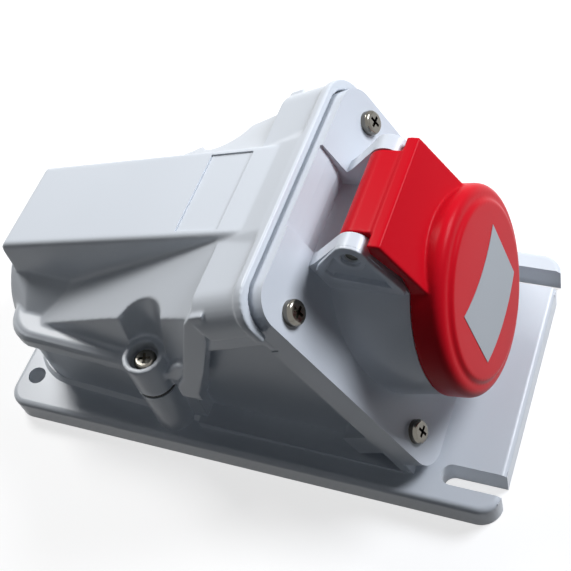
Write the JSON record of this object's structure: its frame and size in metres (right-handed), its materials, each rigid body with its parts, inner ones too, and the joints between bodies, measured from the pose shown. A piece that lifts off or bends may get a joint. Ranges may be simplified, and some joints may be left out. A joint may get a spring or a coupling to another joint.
{
  "type": "three-phase socket outlet",
  "caption": "Surface-mounting angled three-phase socket: grey wedge box with slotted back plate, tilted collar with pin contacts and a sprung red hinged lid.",
  "frame": {"origin": "middle of the mounting plate's underside", "axes": "+X along the plate from the cable entry to the socket end, +Y across it, +Z out of the wall"},
  "size_m": [0.226, 0.125, 0.122],
  "materials": {
    "moulding": "satin",
    "socket_moulding": "satin",
    "red_moulding": "gloss",
    "seal": "matte",
    "rubber_grey": "matte",
    "label": "satin",
    "steel": "bright",
    "spring_steel": "satin",
    "carrier": "matte",
    "brass": "bright"
  },
  "bodies": {
    "housing": {"back_box": "moulding", "cover": "moulding", "cover_gasket": "seal", "flange_gasket": "seal", "socket_body": "socket_moulding", "hinge_pin": "steel", "lid_spring": "spring_steel", "contact_carrier": "carrier", "phase_sleeves": "brass", "neutral_sleeve": "brass", "earth_sleeve": "brass", "carrier_keeper": "carrier", "flange_screws": "steel", "flange_inserts": "brass", "cover_screws": "steel", "cover_inserts": "brass", "entry_grommet": "rubber_grey", "entry_ring": "moulding"},
    "lid_group": {"lid": "red_moulding", "lid_seal": "seal", "lid_label": "label"}
  },
  "joints": [
    {"name": "lid_hinge", "type": "hinge", "parent": "housing", "child": "lid_group", "pos_m": [0.0604, 0, 0.115], "axis": [0, -1, 0], "range_deg": [0, 120], "stiffness_Nm_per_rad": 0.03, "springref_deg": -91.67}
  ]
}
